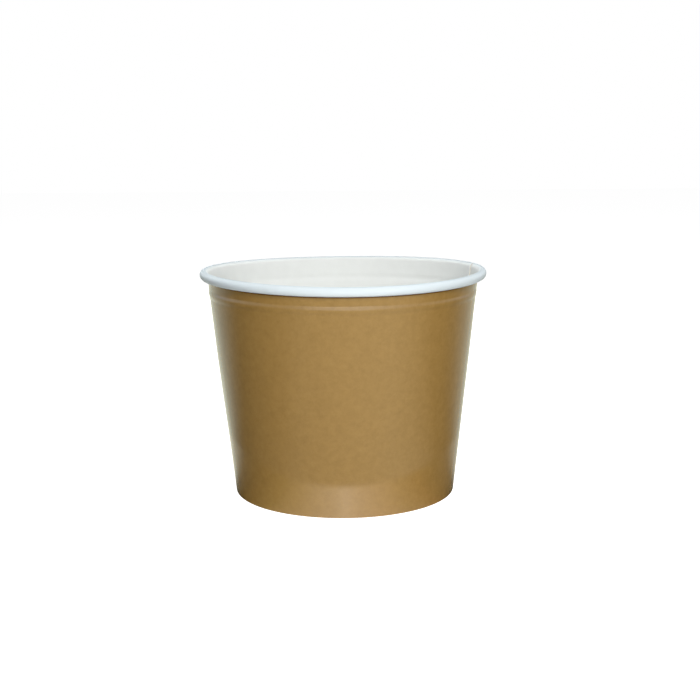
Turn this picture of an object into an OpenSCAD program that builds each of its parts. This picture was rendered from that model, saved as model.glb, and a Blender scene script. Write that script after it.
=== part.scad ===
// Paper chicken bucket: a round, tapered food bucket of coated board.
// A fan-shaped blank is wrapped into a cone and lapped at one side seam.
// Its top edge is curled outwards into a rim, and its bottom edge is folded
// in and up round the skirt of a flat disc, which it clamps.
// Units are millimetres. The axis is Z, and the bucket stands on z = 0.

/* [Bucket] */
// Outer diameter over the rolled rim
top_d = 182; // [176:1:200]
// Outer diameter at the foot
base_d = 141.5; // [124:0.5:160]
// Height from the foot to the top of the rim
height = 144; // [90:1:200]

/* [Board] */
// Thickness of the sidewall's board
board_t = 0.45; // [0.35:0.05:0.6]
// Thickness of the bottom's board
bottom_t = 0.45; // [0.35:0.05:0.6]
// Film of melted coating between two sealed faces
seal_film = 0.02; // [0.01:0.01:0.05]

/* [Rolled rim] */
// Outer diameter of the roll's section
roll_d = 5.4; // [4.6:0.1:7]
// Gap between the tucked edge of the roll and the wall
tuck_gap = 0.06; // [0.04:0.02:0.3]
// Direction in the section at which the tucked edge ends, from straight out
tuck_end = 112; // [100:1:150]

/* [Bead under the rim] */
// Drop from the top of the rim to the middle of the bead
bead_drop = 14; // [11:0.5:30]
// Height of the bead
bead_h = 5; // [3:0.5:8]
// How far the bead stands out of the wall
bead_out = 0.6; // [0.5:0.1:1]

/* [Side seam] */
// Direction of the inner edge of the seam, from +X towards +Y
seam_angle = 13; // [0:1:359]
// Width of the lap, half way up the wall
seam_lap = 9; // [5:0.5:15]
// How far sealing presses the two boards of the lap into each other
lap_press = 0.04; // [0.02:0.01:0.1]

/* [Bottom] */
// Height of the bottom's upper face over the foot
floor_h = 12; // [11:0.5:20]
// Height of the hem that is folded up inside the foot
hem_h = 9.5; // [5:0.5:9.5]
// Inner radius of the bend between the bottom and its skirt
bend_r = 0.6; // [0.4:0.1:0.8]

/* [Hidden] */
$fn = 120;

roll_r = roll_d / 2;
foot_r = base_d / 2;

// In the section the wall's outer face is a straight line from the foot to
// the inside of the roll, which it touches. That gives the taper.
roll_c = [top_d / 2 - roll_r, height - roll_r];
to_roll = roll_c - [foot_r, 0];
taper = atan2(to_roll.x, to_roll.y) - asin((roll_r - board_t) / norm(to_roll));
up = [sin(taper), cos(taper)];

// Depths below the wall's outer face, measured square to it
skirt_depth = board_t + seal_film;
hem_depth = skirt_depth + bottom_t + seal_film;

// Corners round which the foot is folded: under the wall, and under the hem
wall_fold = at_depth(board_t, board_t);
hem_fold = at_depth(board_t, hem_depth);
wall_len = (roll_c - wall_fold) * up;
hem_len = (hem_h - board_t) / cos(taper);

// The flat of the foot lies between these corners. The wall's part of it and
// the hem's part run over each other, and end this far short of the corners.
foot_w = wall_fold.x - hem_fold.x;
foot_short = foot_w / 6;

// The tucked part of the roll runs on a smaller circle, which touches the
// large one where the board turns back under the rim.
tuck_r = roll_r - board_t - tuck_gap;
tuck_c = roll_c - (roll_r - tuck_r) * up;

// The bead is an arc over a chord of the wall's outer face.
bead_r = (pow(bead_h / 2, 2) + pow(bead_out, 2)) / (2 * bead_out);
bead_c = [board_t + bead_out - bead_r, (height - bead_drop - board_t) / cos(taper)];

// The blank winds round as a spiral of two half turns: the second half turn
// has its centre and its radius further out by half of the step at the lap.
half_step = (board_t - lap_press) / cos(taper) / 2;
lap_angle = seam_lap / ((top_d + base_d) / 4) * 180 / PI;

// The bottom's skirt lies along the wall, and its bend leads into the floor.
bend_out = bend_r + bottom_t;
bend_c = at_depth(floor_h - bend_out, skirt_depth + bend_out);
skirt_len = (bend_c.y - bend_out * sin(taper) - board_t - seal_film) / cos(taper);

// Point at height z that lies square below the wall's outer face by d
function at_depth(z, d) = [foot_r + z * tan(taper) - d / cos(taper), z];

// The frame of the wall in the section: y runs up it, and x points out of it
module along_wall() {
    rotate(-taper) children();
}

// Half planes to the right and to the left of x = 0, and above y = 0. Their
// reach is r.
module right_of(r) {
    translate([0, -r]) square([r, 2 * r]);
}

module left_of(r) {
    translate([-r, -r]) square([r, 2 * r]);
}

module above(r) {
    translate([-r, 0]) square([2 * r, r]);
}

// The bead: the board swells out to an arc, and is hollow behind it
module bead_swell() {
    intersection() {
        translate(bead_c) circle(bead_r);
        translate([board_t / 2, bead_c.y - bead_h]) square([bead_h, 2 * bead_h]);
    }
}

// The wall with its bead, and the outer corner of the fold at the foot. Its
// part of the flat foot reaches in by foot_in beyond the usual end.
module wall_section(foot_in = 0) {
    foot_len = foot_w - foot_short + foot_in;
    translate(wall_fold) {
        along_wall() {
            difference() {
                union() {
                    square([board_t, wall_len]);
                    bead_swell();
                }
                translate(bead_c) circle(bead_r - board_t);
            }
        }
        difference() {
            circle(board_t);
            intersection() {
                along_wall() left_of(2 * board_t);
                above(2 * board_t);
            }
        }
        translate([-foot_len, -board_t]) square([foot_len, board_t]);
    }
}

// The rolled rim: over the top and round, then tucked up inside
module roll_section() {
    translate(wall_fold) along_wall() translate([roll_r, wall_len]) {
        difference() {
            circle(roll_r);
            circle(roll_r - board_t);
            translate([-roll_d, -roll_d]) square(roll_d);
        }
        translate([0, tuck_r - roll_r]) {
            difference() {
                circle(tuck_r);
                circle(tuck_r - board_t);
                right_of(roll_d);
                rotate(tuck_end - 180) above(roll_d);
            }
        }
    }
}

// The hem, folded in at the foot and up behind the skirt
module hem_section() {
    translate(hem_fold) {
        difference() {
            circle(board_t);
            intersection() {
                along_wall() right_of(2 * board_t);
                above(2 * board_t);
            }
        }
        along_wall() translate([-board_t, 0]) square([board_t, hem_len]);
        translate([0, -board_t]) square([foot_w - foot_short, board_t]);
    }
}

// The outer edge of the blank where it lies on the inner one. It shares the
// fold at the foot, and ends in the tucked part of the roll.
module lap_section() {
    intersection() {
        translate([half_step, 0]) translate([half_step, 0]) wall_section(2 * half_step);
        square([top_d, tuck_c.y - tuck_r / 3]);
    }
}

// Part of a turn of the blank, about an axis that stands at x = shift
module wound(shift, start, angle, foot_in = 0) {
    translate([shift, 0, 0]) rotate_extrude(start = start, angle = angle) translate([shift, 0]) {
        wall_section(foot_in);
        roll_section();
    }
}

module sidewall() color("#A98955") rotate([0, 0, seam_angle]) {
    wound(0, 0, 180);
    wound(half_step, 180, 90);
    wound(half_step, 270, 90, half_step);
    rotate_extrude(start = 0, angle = lap_angle) lap_section();
    rotate_extrude() hem_section();
}

// What lies inside a bend of radius r: under its flat, which is drawn on past
// the axis, and behind its skirt of the length down
module inside_bend(r, down) {
    flat_len = bend_c.x + bend_out;
    under_flat = 2 * bend_out;
    circle(r);
    translate([-flat_len, r - under_flat]) square([flat_len, under_flat]);
    along_wall() translate([0, -down]) square([r, down]);
}

// The bottom's flat, its bend and its skirt are what lies between two bends.
module bottom_section() {
    translate(bend_c) difference() {
        inside_bend(bend_out, skirt_len);
        inside_bend(bend_r, skirt_len + bend_out);
    }
}

module bottom_disc() color("#E6E7E3") rotate_extrude() intersection() {
    bottom_section();
    square([top_d, height]);
}

sidewall();
bottom_disc();
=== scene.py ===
# Paper chicken bucket: one board wound into a tapered wall, and a flat bottom sealed into its foot.
# It stands empty on a white studio table.
import math

import bpy
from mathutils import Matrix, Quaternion, Vector


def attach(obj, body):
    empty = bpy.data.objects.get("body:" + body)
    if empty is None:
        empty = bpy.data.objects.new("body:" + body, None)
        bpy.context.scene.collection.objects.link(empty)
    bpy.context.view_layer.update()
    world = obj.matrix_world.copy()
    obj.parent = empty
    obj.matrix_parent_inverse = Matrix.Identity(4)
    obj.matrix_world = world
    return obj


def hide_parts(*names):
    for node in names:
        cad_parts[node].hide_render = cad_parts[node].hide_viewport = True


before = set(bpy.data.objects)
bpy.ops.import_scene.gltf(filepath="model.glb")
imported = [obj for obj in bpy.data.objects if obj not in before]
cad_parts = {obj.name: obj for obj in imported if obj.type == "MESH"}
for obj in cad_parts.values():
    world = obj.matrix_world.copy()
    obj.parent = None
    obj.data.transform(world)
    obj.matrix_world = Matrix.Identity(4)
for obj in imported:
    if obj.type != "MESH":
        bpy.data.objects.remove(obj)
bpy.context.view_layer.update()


# Camera
# The photograph is taken from a little above the rim, from 0.78 m in front of the bucket's axis. The camera
# looks down and very slightly to the right, and is turned about its line of sight. Angles are in radians.
camera_place = (0.0, -0.7839, 0.2301)
camera_down = 0.17645
camera_aside = 0.0053
camera_roll = -0.0072
lens_mm = 63.45
sensor_mm = 36

camera_data = bpy.data.cameras.new("camera")
camera_data.lens = lens_mm
camera_data.sensor_width = sensor_mm
camera = bpy.data.objects.new("camera", camera_data)
bpy.context.scene.collection.objects.link(camera)
bpy.context.scene.camera = camera
camera.location = camera_place
sight = Vector((math.sin(camera_aside), math.cos(camera_aside), -math.tan(camera_down)))
camera.rotation_mode = "QUATERNION"
camera.rotation_quaternion = sight.to_track_quat("-Z", "Y") @ Quaternion((0, 0, 1), camera_roll)


# Printed sidewall
# A fan-shaped blank of cup board, brown print under satin varnish outside and white film inside. It is
# wound into a cone and lapped at one seam. Its top edge is curled outwards into the rim, with a bead ring
# pressed out below, and its bottom edge is folded in and up as the hem that grips the bottom.
mm = 0.001
rim_d = 181.4 * mm
foot_d = 141.3 * mm
rim_height = 143.1 * mm
board_t = 0.45 * mm
seal_film = 0.02 * mm
hem_top = 9.5 * mm

# The roll: the board turns by more than a full turn, and tightens on its way, so that its edge is tucked in.
# Its turns are in degrees.
roll_d = 5.4 * mm
roll_height = 5.9 * mm
roll_turn = 400
tuck_from = 235
tuck_to = 360
tuck_in = 0.56 * mm

# The bead: some of it is in the board's form, and more is relief on the print.
bead_middle = 128.5 * mm
bead_half = 3.3 * mm
bead_out = 0.22 * mm
bead_relief = 0.34 * mm

# The seam: its inner edge lies at an angle in degrees, from +X towards +Y. The step at the lap is a little
# less than the board's thickness, because sealing presses the two boards into each other.
seam_angle = 13
seam_lap = 9 * mm
lap_step = 0.41 * mm

# How far this bucket is off the round and the level. The bow's direction is in degrees from +X towards +Y.
rim_bow = 0.8 * mm
bow_direction = 7.85
bulge_out = 0.7 * mm
uneven_out = 0.1 * mm

# Stops in the section, and steps round the wall
hem_stops = 4
fold_stops = 4
wall_stops = 26
bead_stops = 20
neck_stops = 3
roll_stops = 40
wall_steps = 300


def linear(hex_colour):
    """The linear colour of an sRGB hex value, with an alpha of 1."""
    parts = [int(hex_colour[i : i + 2], 16) / 255 for i in (1, 3, 5)]
    return [p / 12.92 if p <= 0.04045 else ((p + 0.055) / 1.055) ** 2.4 for p in parts] + [1]


def add_node(tree, kind, inputs=(), output=0, **settings):
    """Adds a node with its settings, sets or links its inputs, and gives one of its outputs."""
    node = tree.nodes.new(kind)
    for name, value in settings.items():
        setattr(node, name, value)
    for name, value in dict(inputs).items():
        if isinstance(value, bpy.types.NodeSocket):
            tree.links.new(value, node.inputs[name])
        else:
            node.inputs[name].default_value = value
    return node.outputs[output] if len(node.outputs) else node


def bare_material(name):
    """A new material with an empty node tree."""
    material = bpy.data.materials.new(name)
    material.use_nodes = True
    material.node_tree.nodes.clear()
    return material


def arc(centre, radius, start, end, steps):
    """Points on an arc without its first one, with angles in degrees."""
    turns = [math.radians(start + (end - start) * (i + 1) / steps) for i in range(steps)]
    return [(centre[0] + radius * math.cos(a), centre[1] + radius * math.sin(a)) for a in turns]


def below_face(z, depth):
    """The point at height z that lies square below the wall's outer face."""
    return (foot_d / 2 + z * math.tan(taper) - depth / math.cos(taper), z)


def up_wall(across, along):
    """The point given across and along the wall, from the fold at its foot."""
    x = wall_fold[0] + across * math.cos(taper) + along * math.sin(taper)
    return (x, wall_fold[1] - across * math.sin(taper) + along * math.cos(taper))


# The wall's outer face runs from the foot to the roll, which it touches, and the foot is folded round two
# corners.
roll_r = roll_d / 2
roll_stretch = roll_height / roll_d
roll_middle = (rim_d / 2 - roll_r, rim_height - roll_height / 2)
to_roll = (roll_middle[0] - foot_d / 2, roll_middle[1])
taper = math.atan2(*to_roll) - math.asin((roll_r - board_t) / math.hypot(*to_roll))
lean = math.degrees(taper)
hem_depth = 2 * (board_t + seal_film)
wall_fold = below_face(board_t, board_t)
hem_fold = below_face(board_t, hem_depth)
rise_to_roll = (roll_middle[0] - wall_fold[0], roll_middle[1] - wall_fold[1])
curl_from = rise_to_roll[0] * math.sin(taper) + rise_to_roll[1] * math.cos(taper)
bead_from = (bead_middle - wall_fold[1]) / math.cos(taper) - bead_half

# The board's middle line in section: from the hem's raw edge down, round the foot, up and into the curl
hem_step = (hem_top - board_t) / hem_stops
section = [below_face(hem_top - hem_step * i, hem_depth + board_t / 2) for i in range(hem_stops + 1)]
section += arc(hem_fold, board_t / 2, 180 - lean, 270, fold_stops)
on_hem = len(section)
section += [((hem_fold[0] + wall_fold[0]) / 2, board_t / 2), (wall_fold[0], board_t / 2)]
section += arc(wall_fold, board_t / 2, 270, 360 - lean, fold_stops)
up_stops = [bead_from * (i + 1) / wall_stops for i in range(wall_stops)]
up_stops += [bead_from + 2 * bead_half * (i + 1) / bead_stops for i in range(bead_stops)]
up_stops += [up_stops[-1] + (curl_from - up_stops[-1]) * (i + 1) / neck_stops for i in range(neck_stops)]
for up in up_stops:
    off_bead = min(1, abs(up - bead_from - bead_half) / bead_half)
    section.append(up_wall(board_t / 2 + bead_out * (0.5 + 0.5 * math.cos(math.pi * off_bead)), up))
before_curl = len(section) - 1
for i in range(roll_stops):
    curled = roll_turn * (i + 1) / roll_stops
    tight = min(1, max(0, (curled - tuck_from) / (tuck_to - tuck_from)))
    radius = roll_r - board_t / 2 - tuck_in * tight * tight * (3 - 2 * tight)
    angle = math.radians(180 - curled)
    up = curl_from + roll_stretch * radius * math.sin(angle)
    section.append(up_wall(roll_r + radius * math.cos(angle), up))

# Each stop keeps how far it belongs to the wall and not to the hem. It also keeps its travel, which is the
# way along the board from the hem's raw edge.
line = bpy.data.meshes.new("blank_section")
line.from_pydata([(x, 0, z) for x, z in section], [(i, i + 1) for i in range(len(section) - 1)], [])
share = line.attributes.new("wall_share", "FLOAT", "POINT")
travel = line.attributes.new("travel", "FLOAT", "POINT")
for i, (x, z) in enumerate(section):
    reach = (x - hem_fold[0]) / (wall_fold[0] - hem_fold[0])
    share.data[i].value = 0 if i < on_hem else min(1, max(0, reach))
    travel.data[i].value = travel.data[i - 1].value + math.dist(section[i - 1], section[i]) if i else 0
curl_travel = travel.data[before_curl].value
bead_travel = curl_travel - (curl_from - bead_from - bead_half)
sidewall = bpy.data.objects.new("sidewall_board", line)
bpy.context.scene.collection.objects.link(sidewall)

# Print on coated board: a brown ink on white, under a satin dispersion varnish. The ink lies a little
# unevenly on the board's fibres, and the varnish shows their faint relief. In a Mix node of colours, input 0
# is the share, 6 and 7 are the colours, and output 2 is the mixed colour.
ink_thin = linear("#92733F")
ink_full = linear("#876936")
# The colour of the painted shade line in the crease under the curl
painted_crease_shade_colour = linear("#5E3D1E")
mottle_size = 4.2 * mm
print_fibre = 0.65 * mm
fibre_relief = 0.4 * mm
# Where the painted shade under the curl fades in, measured back from the curl
crease_shade_from = 4.5 * mm
crease_shade_to = 4.0 * mm
knurls = 220
knurl_relief = 0.08 * mm
knurls_fade = 7.5 * mm
knurls_end = 8.5 * mm

printed_board = bare_material("brown_print_under_satin_varnish")
shade = printed_board.node_tree
place = add_node(shade, "ShaderNodeTexCoord", output="Object")
field = {"Vector": place, "Scale": 1 / mottle_size, "Detail": 5.0, "Roughness": 0.78}
mottle = add_node(shade, "ShaderNodeTexNoise", field)
fibres = add_node(shade, "ShaderNodeTexNoise", {"Vector": place, "Scale": 1 / print_fibre, "Detail": 2.0})
patch = add_node(shade, "ShaderNodeMapRange", {"Value": mottle, "From Min": 0.3, "From Max": 0.7})
ink = add_node(shade, "ShaderNodeMix", {0: patch, 6: ink_full, 7: ink_thin}, 2, data_type="RGBA")
# A painted shade line in the crease right under the curl, where the roll shades the wall. It is measured
# back from the curl.
walked = add_node(shade, "ShaderNodeAttribute", {}, "Fac", attribute_name="travel")
ends = {"Value": walked, "From Min": curl_travel - crease_shade_from, "From Max": curl_travel - crease_shade_to}
painted_crease_shade = add_node(shade, "ShaderNodeMapRange", ends)
ink = add_node(shade, "ShaderNodeMix", {0: painted_crease_shade, 6: ink, 7: painted_crease_shade_colour}, 2, data_type="RGBA")
relief = add_node(shade, "ShaderNodeBump", {"Strength": 0.05, "Distance": fibre_relief, "Height": fibres})
# The bead stands out more on the print than the groove behind it goes in.
bead_ends = {"From Min": bead_travel - bead_half, "From Max": bead_travel + bead_half}
along_bead = add_node(shade, "ShaderNodeMapRange", {"Value": walked, "To Max": 2 * math.pi, **bead_ends})
swell = add_node(shade, "ShaderNodeMath", {0: along_bead}, operation="COSINE")
swell = add_node(shade, "ShaderNodeMapRange", {"Value": swell, "From Min": 1.0, "From Max": -1.0})
bead = {"Strength": 1.0, "Distance": bead_relief, "Height": swell, "Normal": relief}
relief = add_node(shade, "ShaderNodeBump", bead)
# The tool that presses the hem to the skirt leaves fine upright knurls on it, one every 2 mm. They fade out
# short of the foot's fold.
east = add_node(shade, "ShaderNodeSeparateXYZ", {0: place}, "X")
north = add_node(shade, "ShaderNodeSeparateXYZ", {0: place}, "Y")
bearing = add_node(shade, "ShaderNodeMath", {0: north, 1: east}, operation="ARCTAN2")
knurl = add_node(shade, "ShaderNodeMath", {0: bearing, 1: knurls}, operation="MULTIPLY")
knurl = add_node(shade, "ShaderNodeMath", {0: knurl}, operation="SINE")
ends = {"Value": walked, "From Min": knurls_fade, "From Max": knurls_end, "To Min": 1.0, "To Max": 0.0}
pressed = add_node(shade, "ShaderNodeMapRange", ends)
knurl = add_node(shade, "ShaderNodeMath", {0: knurl, 1: pressed}, operation="MULTIPLY")
knurled = {"Strength": 1.0, "Distance": knurl_relief, "Height": knurl, "Normal": relief}
relief = add_node(shade, "ShaderNodeBump", knurled)
paint = {"Base Color": ink, "Roughness": 0.12, "IOR": 1.5, "Normal": relief}
surface = add_node(shade, "ShaderNodeBsdfPrincipled", paint)
add_node(shade, "ShaderNodeOutputMaterial", {"Surface": surface})

# White film on board: a thin coat of polyethylene over bleached board, smooth and softly glossy.
film_low = linear("#ECEEEC")
film_high = linear("#F2F4F2")
# The painted cool light and shade round the curl
painted_rim_light_colour = linear("#C9D3D8")
film_cloud = 6.25 * mm
film_fibre = 0.9 * mm
# Where the painted rim light fades in, past the start of the curl
rim_light_from = 1.0 * mm
rim_light_to = 3.5 * mm

white_film = bare_material("white_film_on_bleached_board")
shade = white_film.node_tree
place = add_node(shade, "ShaderNodeTexCoord", output="Object")
cloud = add_node(shade, "ShaderNodeTexNoise", {"Vector": place, "Scale": 1 / film_cloud, "Detail": 3.0})
fibres = add_node(shade, "ShaderNodeTexNoise", {"Vector": place, "Scale": 1 / film_fibre, "Detail": 3.0})
white = add_node(shade, "ShaderNodeMix", {0: cloud, 6: film_low, 7: film_high}, 2, data_type="RGBA")
# Round the curl the film is painted cooler and a little darker, as painted cool light and shade on the rim.
# The film there is the same as elsewhere.
walked = add_node(shade, "ShaderNodeAttribute", {}, "Fac", attribute_name="travel")
ends = {"Value": walked, "From Min": curl_travel + rim_light_from, "From Max": curl_travel + rim_light_to}
painted_rim_light = add_node(shade, "ShaderNodeMapRange", ends)
white = add_node(shade, "ShaderNodeMix", {0: painted_rim_light, 6: white, 7: painted_rim_light_colour}, 2, data_type="RGBA")
relief = add_node(shade, "ShaderNodeBump", {"Strength": 0.12, "Distance": fibre_relief, "Height": fibres})
paint = {"Base Color": white, "Roughness": 0.48, "IOR": 1.5, "Normal": relief}
surface = add_node(shade, "ShaderNodeBsdfPrincipled", paint)
add_node(shade, "ShaderNodeOutputMaterial", {"Surface": surface})

# Raw cut edge of bleached board: bare fibres, matt and a little warm where the core shows.
core_dark = linear("#D9CDBE")
core_pale = linear("#E9E0D4")
cut_fibre = 0.4 * mm

cut_edge = bare_material("cut_edge_of_bleached_board")
shade = cut_edge.node_tree
place = add_node(shade, "ShaderNodeTexCoord", output="Object")
fibres = add_node(shade, "ShaderNodeTexNoise", {"Vector": place, "Scale": 1 / cut_fibre, "Detail": 4.0})
core = add_node(shade, "ShaderNodeMix", {0: fibres, 6: core_dark, 7: core_pale}, 2, data_type="RGBA")
surface = add_node(shade, "ShaderNodeBsdfPrincipled", {"Base Color": core, "Roughness": 0.85, "IOR": 1.45})
add_node(shade, "ShaderNodeOutputMaterial", {"Surface": surface})

# Geometry nodes wind the section round the axis, as the blank is wound round its form.
wind = bpy.data.node_groups.new("wind_the_blank", "GeometryNodeTree")
wind.interface.new_socket("Geometry", in_out="INPUT", socket_type="NodeSocketGeometry")
wind_inputs = {
    "Steps": ("NodeSocketInt", wall_steps),
    "Stops": ("NodeSocketInt", len(section)),
    "Seam angle": ("NodeSocketFloat", math.radians(seam_angle)),
    "Lap angle": ("NodeSocketFloat", seam_lap / ((rim_d + foot_d) / 4)),
    "Lap step": ("NodeSocketFloat", lap_step),
    "Rim height": ("NodeSocketFloat", rim_height),
    "Rim bow": ("NodeSocketFloat", rim_bow),
    "Bow direction": ("NodeSocketFloat", math.radians(bow_direction)),
    "Bulge": ("NodeSocketFloat", bulge_out),
    "Unevenness": ("NodeSocketFloat", uneven_out),
    "Seed": ("NodeSocketFloat", 4.0),
    "Material": ("NodeSocketMaterial", printed_board),
}
for name, (kind, value) in wind_inputs.items():
    wind.interface.new_socket(name, in_out="INPUT", socket_type=kind)
wind.interface.new_socket("Geometry", in_out="OUTPUT", socket_type="NodeSocketGeometry")
given = wind.nodes.new("NodeGroupInput").outputs
sheet = add_node(wind, "GeometryNodeMeshGrid", {"Vertices X": given["Steps"], "Vertices Y": given["Stops"]})
point = add_node(wind, "GeometryNodeInputIndex")
stop = add_node(wind, "ShaderNodeMath", {0: point, 1: given["Stops"]}, operation="MODULO")
step = add_node(wind, "ShaderNodeMath", {0: point, 1: given["Stops"]}, operation="DIVIDE")
step = add_node(wind, "ShaderNodeMath", {0: step}, operation="FLOOR")
last = add_node(wind, "ShaderNodeMath", {0: given["Steps"], 1: 1.0}, operation="SUBTRACT")
part = add_node(wind, "ShaderNodeMath", {0: step, 1: last}, operation="DIVIDE")
full = add_node(wind, "ShaderNodeMath", {0: given["Lap angle"], 1: 2 * math.pi}, operation="ADD")
turned = add_node(wind, "ShaderNodeMath", {0: part, 1: full}, operation="MULTIPLY")
azimuth = add_node(wind, "ShaderNodeMath", {0: turned, 1: given["Seam angle"]}, operation="ADD")

# What each point of the sheet takes over from its stop in the section
line_place = add_node(wind, "GeometryNodeInputPosition")
line_share = add_node(wind, "GeometryNodeInputNamedAttribute", {"Name": "wall_share"}, data_type="FLOAT")
line_travel = add_node(wind, "GeometryNodeInputNamedAttribute", {"Name": "travel"}, data_type="FLOAT")
from_stop = {"Geometry": given["Geometry"], "Index": stop}
sample = {"Value": line_place, **from_stop}
line_place = add_node(wind, "GeometryNodeSampleIndex", sample, data_type="FLOAT_VECTOR")
sample = {"Value": line_share, **from_stop}
line_share = add_node(wind, "GeometryNodeSampleIndex", sample, data_type="FLOAT")
sample = {"Value": line_travel, **from_stop}
line_travel = add_node(wind, "GeometryNodeSampleIndex", sample, data_type="FLOAT")
out = add_node(wind, "ShaderNodeSeparateXYZ", {0: line_place}, "X")
high = add_node(wind, "ShaderNodeSeparateXYZ", {0: line_place}, "Z")

# In the second half turn the wall climbs by the lap's step, to pass over its own inner edge. Its hem goes in
# behind, by a little more than that step, between these angles in radians before the full turn. In a Mix
# node of numbers, inputs 2 and 3 are the numbers.
hem_in_from = 0.45
hem_in_to = 0.1
hem_in_steps = 1.1
wave = add_node(wind, "ShaderNodeMath", {0: turned}, operation="COSINE")
wave = add_node(wind, "ShaderNodeMapRange", {"Value": wave, "From Min": -1.0, "From Max": 1.0})
late = add_node(wind, "ShaderNodeMath", {0: turned, 1: math.pi}, operation="GREATER_THAN")
over = add_node(wind, "ShaderNodeMath", {0: turned, 1: 2 * math.pi}, operation="GREATER_THAN")
climb = add_node(wind, "ShaderNodeMath", {0: wave, 1: late}, operation="MULTIPLY")
climb = add_node(wind, "ShaderNodeMath", {0: climb, 1: over}, operation="MAXIMUM")
hem_in_ends = {"From Min": 2 * math.pi - hem_in_from, "From Max": 2 * math.pi - hem_in_to}
ends = {"Value": turned, "To Max": -hem_in_steps, **hem_in_ends}
tuck = add_node(wind, "ShaderNodeMapRange", ends, interpolation_type="SMOOTHSTEP")
climb = add_node(wind, "ShaderNodeMix", {0: line_share, 2: tuck, 3: climb}, data_type="FLOAT")
climb = add_node(wind, "ShaderNodeMath", {0: climb, 1: given["Lap step"], 2: out}, operation="MULTIPLY_ADD")

# The board is not quite round above the stiff foot. It also bulges on its left side, from the azimuth whose
# cosine is bulge_side, and up to the stiff rim, which holds most of the bulge back.
waves_across = 1.6
waves_up = 12.0
uneven_from = 13 * mm
uneven_to = 50 * mm
bulge_side = 0.3
bulge_from = 15 * mm
bulge_to = 95 * mm
held_from = 130 * mm
held_to = 138 * mm
held_share = 0.2
east = add_node(wind, "ShaderNodeMath", {0: azimuth}, operation="COSINE")
north = add_node(wind, "ShaderNodeMath", {0: azimuth}, operation="SINE")
level = add_node(wind, "ShaderNodeMath", {0: high, 1: waves_up}, operation="MULTIPLY")
round_place = add_node(wind, "ShaderNodeCombineXYZ", {0: east, 1: north, 2: level})
field = {"Vector": round_place, "W": given["Seed"], "Scale": waves_across, "Detail": 1.0}
waves = add_node(wind, "ShaderNodeTexNoise", field, noise_dimensions="4D", normalize=False)
ends = {"Value": high, "From Min": uneven_from, "From Max": uneven_to, "To Max": given["Unevenness"]}
free = add_node(wind, "ShaderNodeMapRange", ends, interpolation_type="SMOOTHSTEP")
radius = add_node(wind, "ShaderNodeMath", {0: waves, 1: free, 2: climb}, operation="MULTIPLY_ADD")
ends = {"Value": east, "From Min": bulge_side, "From Max": -1.0, "To Max": given["Bulge"]}
bulge = add_node(wind, "ShaderNodeMapRange", ends, interpolation_type="SMOOTHSTEP")
ends = {"Value": high, "From Min": bulge_from, "From Max": bulge_to}
belly = add_node(wind, "ShaderNodeMapRange", ends, interpolation_type="SMOOTHSTEP")
ends = {"Value": high, "From Min": held_from, "From Max": held_to, "To Min": 1.0, "To Max": held_share}
held = add_node(wind, "ShaderNodeMapRange", ends, interpolation_type="SMOOTHSTEP")
belly = add_node(wind, "ShaderNodeMath", {0: belly, 1: held}, operation="MULTIPLY")
radius = add_node(wind, "ShaderNodeMath", {0: bulge, 1: belly, 2: radius}, operation="MULTIPLY_ADD")

# The rim bows up at the sides and down at the front and the back. The foot's inner end rides on the lap, and
# comes down again between these angles in radians from the seam. The ride fades out up the wall.
ride_from = 0.11
ride_to = 0.5
ride_low = 2 * mm
ride_high = 18 * mm
bow = add_node(wind, "ShaderNodeMath", {0: azimuth, 1: given["Bow direction"]}, operation="SUBTRACT")
bow = add_node(wind, "ShaderNodeMath", {0: bow, 1: 2.0}, operation="MULTIPLY")
bow = add_node(wind, "ShaderNodeMath", {0: bow}, operation="COSINE")
rise = add_node(wind, "ShaderNodeMath", {0: high, 1: given["Rim height"]}, operation="DIVIDE")
rise = add_node(wind, "ShaderNodeMath", {0: rise, 1: 2.0}, operation="POWER")
rise = add_node(wind, "ShaderNodeMath", {0: rise, 1: given["Rim bow"]}, operation="MULTIPLY")
height = add_node(wind, "ShaderNodeMath", {0: bow, 1: rise, 2: high}, operation="MULTIPLY_ADD")
ride_ends = {"From Min": ride_from, "From Max": ride_to, "To Min": given["Lap step"], "To Max": 0.0}
ends = {"Value": turned, **ride_ends}
ride_up = add_node(wind, "ShaderNodeMapRange", ends, interpolation_type="SMOOTHSTEP")
ends = {"Value": high, "From Min": ride_low, "From Max": ride_high, "To Min": 1.0, "To Max": 0.0}
near_foot = add_node(wind, "ShaderNodeMapRange", ends, interpolation_type="SMOOTHSTEP")
height = add_node(wind, "ShaderNodeMath", {0: ride_up, 1: near_foot, 2: height}, operation="MULTIPLY_ADD")

east = add_node(wind, "ShaderNodeMath", {0: east, 1: radius}, operation="MULTIPLY")
north = add_node(wind, "ShaderNodeMath", {0: north, 1: radius}, operation="MULTIPLY")
target = add_node(wind, "ShaderNodeCombineXYZ", {0: east, 1: north, 2: height})
kept = {"Geometry": sheet, "Name": "travel", "Value": line_travel}
wound = add_node(wind, "GeometryNodeStoreNamedAttribute", kept, data_type="FLOAT", domain="POINT")
wound = add_node(wind, "GeometryNodeSetPosition", {"Geometry": wound, "Position": target})
wound = add_node(wind, "GeometryNodeRealizeInstances", {"Geometry": wound})
wound = add_node(wind, "GeometryNodeSetMaterial", {"Geometry": wound, "Material": given["Material"]})
add_node(wind, "NodeGroupOutput", {"Geometry": wound})

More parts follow.
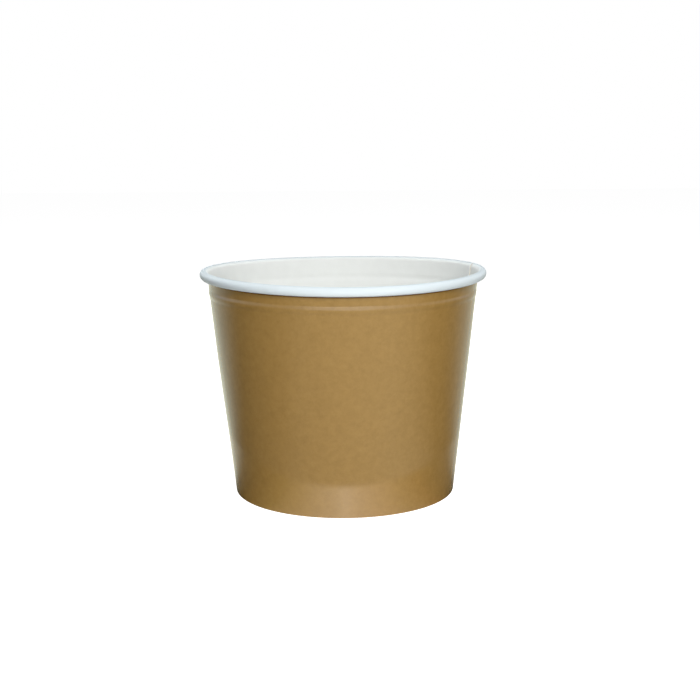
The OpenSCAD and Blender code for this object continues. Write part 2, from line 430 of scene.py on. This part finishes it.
winding = sidewall.modifiers.new("wind", "NODES")
winding.node_group = wind
for item in wind.interface.items_tree:
    if item.in_out == "INPUT" and item.name in wind_inputs:
        winding[item.identifier] = wind_inputs[item.name][1]
ready = sidewall.evaluated_get(bpy.context.evaluated_depsgraph_get())
sidewall_mesh = bpy.data.meshes.new_from_object(ready)
sidewall.modifiers.clear()
sidewall.data = sidewall_mesh
for material in (white_film, cut_edge):
    sidewall_mesh.materials.append(material)
sidewall_mesh.shade_smooth()
sheet_thickness = sidewall.modifiers.new("board", "SOLIDIFY")
sheet_thickness.thickness = board_t
sheet_thickness.offset = 0
sheet_thickness.material_offset = 1
sheet_thickness.material_offset_rim = 2
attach(sidewall, "root")
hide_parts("sidewall")


# White bottom
# A flat disc of the same cup board, film side up. Its edge is turned down as a skirt, which is clamped and
# heat sealed between the wall and the hem, so the turned edge shows fine radial puckers.
floor_h = 12 * mm
floor_dish = 0.35 * mm
bend_inside = 0.6 * mm
skirt_end = 1.0 * mm
floor_stops = 14
bend_stops = 7
skirt_stops = 5
disc_steps = 432

# The puckers are deepest at the bend, and some are deeper than others.
puckers = 72
pucker_depth = 0.1 * mm
pucker_stop = floor_stops + bend_stops // 2
pucker_reach = 4
pucker_groups = 5
pucker_uneven = 0.3

# The disc's middle line in section: out from the axis, round the bend and down the skirt
skirt_depth = board_t + seal_film + board_t / 2
bend_r = bend_inside + board_t / 2
bend_depth = skirt_depth + bend_r
bend_z = floor_h - board_t / 2 - bend_r
bend_at = below_face(bend_z, bend_depth)
profile = [(bend_at[0] * (i + 1) / floor_stops, bend_z + bend_r) for i in range(floor_stops)]
profile += arc(bend_at, bend_r, 90, -lean, bend_stops)
skirt_top = profile[-1]
skirt_rise = skirt_end - skirt_top[1]
for i in range(skirt_stops):
    down = skirt_rise * (i + 1) / skirt_stops
    profile.append((skirt_top[0] + down * math.tan(taper), skirt_top[1] + down))
points = [(0, 0, floor_h - board_t / 2 - floor_dish)]
for i, (x, z) in enumerate(profile):
    dish = floor_dish * max(0, 1 - (x / bend_at[0]) ** 2)
    turned_over = max(0, 1 - abs(i - pucker_stop) / pucker_reach)
    for k in range(disc_steps):
        a = 2 * math.pi * k / disc_steps
        fold = pucker_depth * turned_over * (0.5 + 0.5 * math.cos(a * puckers))
        fold *= 1 - pucker_uneven + pucker_uneven * math.sin(a * pucker_groups)
        points.append(((x - fold) * math.cos(a), (x - fold) * math.sin(a), z - dish - fold))
faces = [(0, 1 + k, 1 + (k + 1) % disc_steps) for k in range(disc_steps)]
for i in range(len(profile) - 1):
    for k in range(disc_steps):
        a, b = 1 + i * disc_steps + k, 1 + i * disc_steps + (k + 1) % disc_steps
        faces.append((a, a + disc_steps, b + disc_steps, b))
disc_mesh = bpy.data.meshes.new("bottom_board")
disc_mesh.from_pydata(points, [], faces)
for material in (white_film, cut_edge):
    disc_mesh.materials.append(material)
disc_mesh.shade_smooth()
bottom = bpy.data.objects.new("bottom_board", disc_mesh)
bpy.context.scene.collection.objects.link(bottom)
disc_thickness = bottom.modifiers.new("board", "SOLIDIFY")
disc_thickness.thickness = board_t
disc_thickness.offset = 0
disc_thickness.material_offset_rim = 1
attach(bottom, "root")
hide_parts("bottom_disc")


# Table and light
# A white paper sweep under soft boxes. A large cool one hangs overhead, one stands in front, a little to the
# right, with a low strip under it, and one stands behind. The varnish mirrors the bright front of the room
# and a painted reflection on the sweep: dark at both sides, where it stands for dark flags, and a round
# plate under the bucket with a painted glint of the front light, bright towards the camera.
table_half = 4000 * mm
plate_behind = 34 * mm
plate_r = 143.8 * mm
plate_edge = 1.5 * mm
# The tint of the painted reflection on the sweep
painted_reflection_tint = (0.97, 1.0, 0.82)
room_tint = (0.95, 1.0, 1.0)
brightest = 4.5

# Tones by bearing, as a share of a turn: the front is at 0 and 1, the left at 0.25, the back at 0.5 and the
# right at 0.75. The plate's tones have a red, a green and a blue part.
# The sweep's painted reflection, seen only in the varnish: dark at both sides, where it stands for dark
# flags, and bright in front and behind
painted_sweep_reflection_tones = (
    (0, 0.87), (0.096, 0.6), (0.131, 0.3), (0.167, 0.15), (0.222, 0.08), (0.261, 0.1), (0.292, 0.4),
    (0.325, 0.8), (0.378, 1.1), (0.5, 1.0), (0.622, 0.82), (0.675, 0.55), (0.708, 0.25), (0.739, 0.08),
    (0.777, 0.08), (0.804, 0.3), (0.847, 0.75), (0.896, 1.1), (0.96, 1.0), (1, 0.87),
)
# A painted glint of the front soft box on the round plate, brightest towards the camera. It glows, though it
# is no lamp.
painted_plate_glint_tones = (
    (0, 4.2, 3.8, 3.2), (0.017, 3.2, 2.9, 2.4), (0.081, 1.8, 1.5, 0.9), (0.122, 0.7, 0.55, 0.2),
    (0.165, 0.15, 0.1, 0.03), (0.2, 0.05, 0.05, 0.03), (0.25, 0.2, 0.2, 0.16), (0.3, 0.8, 0.8, 0.65),
    (0.36, 1.1, 1.1, 0.9), (0.5, 1.0, 1.0, 0.82), (0.64, 0.8, 0.8, 0.65), (0.7, 0.6, 0.6, 0.5),
    (0.75, 0.15, 0.15, 0.12), (0.815, 0.05, 0.05, 0.03), (0.855, 0.5, 0.28, 0.12), (0.898, 1.3, 1.05, 0.65),
    (0.935, 2.6, 2.1, 1.5), (0.973, 3.2, 2.8, 2.3), (1, 4.2, 3.8, 3.2),
)

# How pale the sweep is to the light that falls on it, which it throws back at the bucket. Its tone drops
# from the front to the sides and the back, as painted shade.
paleness_with_painted_shade_tones = ((0, 0.9), (0.1, 0.7), (0.15, 0.5), (0.5, 0.55), (0.83, 0.5), (0.9, 0.7), (1, 0.9))

# The room near the table's level, and the white cards that stand at both sides from a little higher on. They
# fade in between these heights, as the upward part of a direction of length 1.
room_tones = (
    (0, 3.6), (0.05, 3.0), (0.1, 1.4), (0.15, 0.5), (0.25, 1.0), (0.38, 1.4), (0.45, 0.8),
    (0.55, 0.8), (0.62, 1.2), (0.75, 0.8), (0.83, 1.0), (0.9, 2.4), (0.95, 3.6), (1, 3.6),
)
card_tones = (
    (0, 1.0), (0.13, 1.0), (0.2, 4.5), (0.4, 4.5), (0.45, 0.8),
    (0.55, 0.8), (0.6, 3.0), (0.78, 3.0), (0.85, 1.0), (1, 1.0),
)
cards_from = 0.12
cards_to = 0.22


def bearing_of(tree, place):
    """The bearing of a place or direction, as a share of a turn from the front by the left."""
    east = add_node(tree, "ShaderNodeSeparateXYZ", {0: place}, "X")
    north = add_node(tree, "ShaderNodeSeparateXYZ", {0: place}, "Y")
    angle = add_node(tree, "ShaderNodeMath", {0: east, 1: north}, operation="ARCTAN2")
    ends = {"Value": angle, "From Min": -math.pi, "From Max": math.pi}
    return add_node(tree, "ShaderNodeMapRange", ends)


def set_tones(ramp, tones, white_tone=1.0, tint=(1, 1, 1)):
    """Marks the tones on a colour ramp, whose white stands for white_tone. A tone of one part is a grey."""
    marks = ramp.node.color_ramp.elements
    marks.remove(marks[1])
    for i, (position, *tone) in enumerate(tones):
        mark = marks.new(position) if i else marks[0]
        mark.position = position
        parts = tone if len(tone) == 3 else tone * 3
        mark.color = [part * tinted / white_tone for part, tinted in zip(parts, tint)] + [1]


table_mesh = bpy.data.meshes.new("table")
corners = [(x * table_half, y * table_half, 0) for x, y in ((-1, -1), (1, -1), (1, 1), (-1, 1))]
table_mesh.from_pydata(corners, [], [(0, 1, 2, 3)])
table = bpy.data.objects.new("table", table_mesh)
bpy.context.scene.collection.objects.link(table)

white_sweep = bare_material("white_paper_sweep_with_painted_reflection")
shade = white_sweep.node_tree
place = add_node(shade, "ShaderNodeTexCoord", output="Object")
bearing = bearing_of(shade, place)
painted_sweep_reflection = add_node(shade, "ShaderNodeValToRGB", {0: bearing})
set_tones(painted_sweep_reflection, painted_sweep_reflection_tones, brightest, painted_reflection_tint)
painted_plate_glint = add_node(shade, "ShaderNodeValToRGB", {0: bearing})
set_tones(painted_plate_glint, painted_plate_glint_tones, brightest)
lit_with_painted_shade = add_node(shade, "ShaderNodeValToRGB", {0: bearing})
set_tones(lit_with_painted_shade, paleness_with_painted_shade_tones)
off_plate = add_node(shade, "ShaderNodeCombineXYZ", {1: plate_behind})
off_plate = add_node(shade, "ShaderNodeVectorMath", {0: place, 1: off_plate}, "Value", operation="DISTANCE")
plate_ends = {"From Min": plate_r - plate_edge, "From Max": plate_r + plate_edge}
ends = {"Value": off_plate, "To Min": 1.0, "To Max": 0.0, **plate_ends}
on_plate = add_node(shade, "ShaderNodeMapRange", ends)
# What the varnish mirrors is a painted reflection, which glows, though the sweep is no lamp.
painted_reflection = add_node(shade, "ShaderNodeMix", {0: on_plate, 6: painted_sweep_reflection, 7: painted_plate_glint}, 2, data_type="RGBA")
painted_reflection = add_node(shade, "ShaderNodeEmission", {"Color": painted_reflection, "Strength": brightest})
lit_with_painted_shade = add_node(shade, "ShaderNodeMix", {0: on_plate, 6: lit_with_painted_shade, 7: (0.95, 0.95, 0.95, 1)}, 2, data_type="RGBA")
lit_with_painted_shade = add_node(shade, "ShaderNodeBsdfDiffuse", {"Color": lit_with_painted_shade})
# The camera sees white paper, with the bucket's shadow on it.
seen = add_node(shade, "ShaderNodeBsdfDiffuse", {"Color": (0.85, 0.85, 0.85, 1)})
glow = add_node(shade, "ShaderNodeEmission", {"Strength": 0.9})
seen = add_node(shade, "ShaderNodeAddShader", {0: seen, 1: glow})
camera_ray = add_node(shade, "ShaderNodeLightPath", output="Is Camera Ray")
glossy_ray = add_node(shade, "ShaderNodeLightPath", output="Is Glossy Ray")
paper = add_node(shade, "ShaderNodeMixShader", {0: glossy_ray, 1: lit_with_painted_shade, 2: painted_reflection})
paper = add_node(shade, "ShaderNodeMixShader", {0: camera_ray, 1: paper, 2: seen})
add_node(shade, "ShaderNodeOutputMaterial", {"Surface": paper})
table_mesh.materials.append(white_sweep)

# For each soft box: its place, its aim, its width and height, all in metres, its watts and its tint. None
# shows in the varnish, where the tones above stand for them.
for name, spot, aim, size, power, tint in (
    ("soft_box_overhead", (0.0, 0.0, 1.1), (0, 0, 0), (1.2, 1.2), 6.0, "#F6FAFF"),
    ("soft_box_front", (0.17, -0.84, 0.5), (0, 0, 0.1), (0.3, 0.3), 5.9, "#FFFDFA"),
    ("strip_front", (0.16, -0.9, 0.08), (0, 0, 0.1), (0.5, 0.12), 2.3, "#FFFDFA"),
    ("soft_box_back", (0.0, 1.0, 0.3), (0, 0, 0.06), (0.8, 0.3), 5.0, "#FFFDFA"),
):
    lamp_data = bpy.data.lights.new(name, "AREA")
    lamp_data.shape = "RECTANGLE"
    lamp_data.size, lamp_data.size_y = size
    lamp_data.energy = power
    lamp_data.color = linear(tint)[:3]
    lamp = bpy.data.objects.new(name, lamp_data)
    bpy.context.scene.collection.objects.link(lamp)
    lamp.location = spot
    lamp.rotation_euler = (Vector(aim) - Vector(spot)).to_track_quat("-Z", "Y").to_euler()
    lamp.visible_camera = False
    lamp.visible_glossy = False

# The room round the table: white to the camera, dim as a source of light, and with its tones in the varnish.
world = bpy.data.worlds.new("studio")
bpy.context.scene.world = world
world.use_nodes = True
shade = world.node_tree
shade.nodes.clear()
way = add_node(shade, "ShaderNodeTexCoord", output="Generated")
bearing = bearing_of(shade, way)
room = add_node(shade, "ShaderNodeValToRGB", {0: bearing})
set_tones(room, room_tones, brightest, room_tint)
cards = add_node(shade, "ShaderNodeValToRGB", {0: bearing})
set_tones(cards, card_tones, brightest, room_tint)
high = add_node(shade, "ShaderNodeSeparateXYZ", {0: way}, "Z")
raised = add_node(shade, "ShaderNodeMapRange", {"Value": high, "From Min": cards_from, "From Max": cards_to})
room = add_node(shade, "ShaderNodeMix", {0: raised, 6: room, 7: cards}, 2, data_type="RGBA")
room = add_node(shade, "ShaderNodeBackground", {"Color": room, "Strength": brightest})
dim = add_node(shade, "ShaderNodeBackground", {"Color": (1, 1, 1, 1), "Strength": 0.1})
white = add_node(shade, "ShaderNodeBackground", {"Color": (1, 1, 1, 1), "Strength": 1.0})
camera_ray = add_node(shade, "ShaderNodeLightPath", output="Is Camera Ray")
glossy_ray = add_node(shade, "ShaderNodeLightPath", output="Is Glossy Ray")
clear_ray = add_node(shade, "ShaderNodeLightPath", output="Is Transmission Ray")
shown = add_node(shade, "ShaderNodeMath", {0: camera_ray, 1: clear_ray}, operation="MAXIMUM")
sky = add_node(shade, "ShaderNodeMixShader", {0: glossy_ray, 1: dim, 2: room})
sky = add_node(shade, "ShaderNodeMixShader", {0: shown, 1: sky, 2: white})
add_node(shade, "ShaderNodeOutputWorld", {"Surface": sky})
bpy.context.scene.view_settings.view_transform = "Standard"
